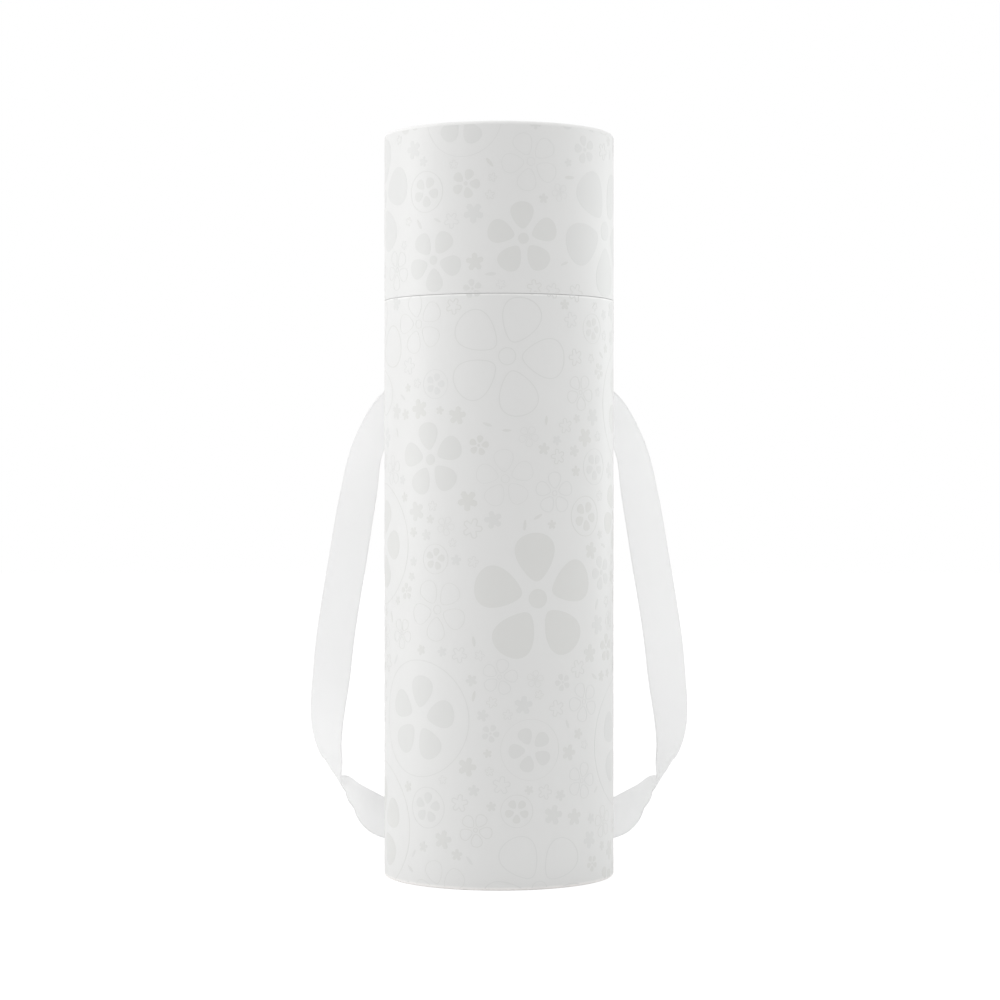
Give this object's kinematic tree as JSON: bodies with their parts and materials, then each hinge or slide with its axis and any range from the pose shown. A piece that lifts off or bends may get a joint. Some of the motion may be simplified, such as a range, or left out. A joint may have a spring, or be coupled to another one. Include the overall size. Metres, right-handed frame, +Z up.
{
  "type": "cardboard gift tube",
  "caption": "Tall round cardboard gift tube with a lift-off lid on an inner neck and a carrying ribbon on each side.",
  "frame": {"origin": "centre of the base, on the surface that the tube stands on", "axes": "+Z up along the tube, -Y towards the front, +X to the right ribbon; the ribbons leave the back, +Y"},
  "size_m": [0.1686, 0.1, 0.3223],
  "materials": {
    "printed_board": "matte laminated white paper wrap with a pale tone-on-tone print",
    "end_board": "matte white paper on board",
    "inner_board": "uncoated white board",
    "ribbon": "satin woven ribbon"
  },
  "bodies": {
    "tube": {"body_tube": "printed_board", "base_disc": "end_board", "neck_tube": "inner_board", "strap_left": "ribbon", "strap_right": "ribbon"},
    "lid": {"lid_tube": "printed_board", "lid_disc": "end_board"}
  },
  "joints": [
    {"name": "lid_lift", "type": "slide", "parent": "tube", "child": "lid", "axis": [0, 0, 1], "range_m": [0, 0.13]}
  ]
}
